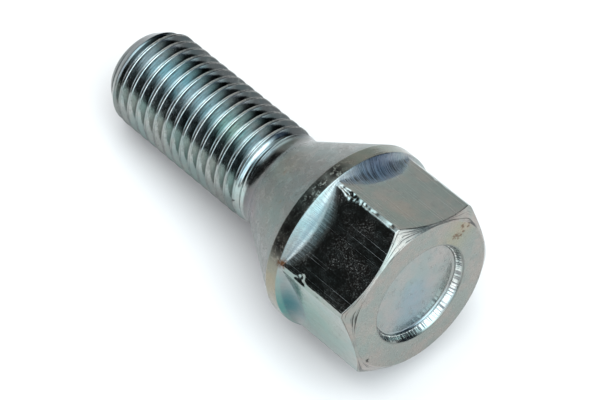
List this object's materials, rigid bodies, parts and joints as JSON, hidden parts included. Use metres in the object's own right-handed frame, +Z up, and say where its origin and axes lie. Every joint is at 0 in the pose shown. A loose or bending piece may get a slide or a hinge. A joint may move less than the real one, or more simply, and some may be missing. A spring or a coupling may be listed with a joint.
{
  "type": "wheel bolt",
  "caption": "Hexagon-head wheel bolt with a round collar, a cone seat and a threaded shank, zinc plated, that clamps a road wheel to its hub.",
  "frame": {"origin": "on the ground, under the middle of the lying bolt's bounding box", "axes": "+X along the bolt in plan, from the tip towards the head; +Z up; the bolt lies on its collar's lower edge and on the thread's first crest"},
  "size_m": [0.0481, 0.0221, 0.0232],
  "materials": {
    "zinc_plate": "bright zinc plate with handling wear"
  },
  "bodies": {
    "root": {"wheel_bolt": "zinc_plate"}
  },
  "joints": []
}
